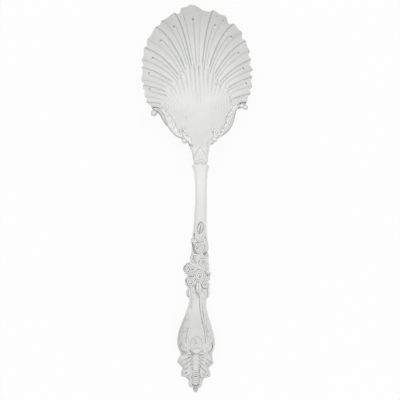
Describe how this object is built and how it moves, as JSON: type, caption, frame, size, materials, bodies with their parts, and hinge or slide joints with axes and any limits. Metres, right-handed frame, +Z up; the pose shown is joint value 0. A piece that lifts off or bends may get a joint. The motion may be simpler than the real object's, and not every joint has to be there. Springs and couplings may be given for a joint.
{
  "type": "sugar spoon",
  "caption": "Sugar spoon with a fluted shell bowl, a hollow handle with a spray of roses, and a fan-shaped shell at its end.",
  "frame": {"origin": "under the middle of the spoon's length and width, on the surface that it lies on", "axes": "+Y from the handle's end to the bowl's tip, +Z up out of the bowl, +X to the right across the bowl"},
  "size_m": [0.048, 0.1646, 0.0174],
  "materials": {
    "bowl_sheet": "satin silver plate, pale, with soft reflections",
    "castings": "satin silver plate, darker in the deepest lines",
    "forging": "satin silver plate",
    "handle_shells": "satin silver plate, darker beside the relief",
    "cement": "set cement, unseen inside the handle"
  },
  "bodies": {
    "root": {"bowl": "bowl_sheet", "left_border": "castings", "right_border": "castings", "shank": "forging", "calyx_leaf": "castings", "collar": "castings", "front_shell": "handle_shells", "back_shell": "handle_shells", "handle_filler": "cement", "rose_blossoms": "castings", "spray_leaves": "castings", "end_shell": "castings", "end_scroll": "castings", "end_bead": "castings"}
  },
  "joints": []
}
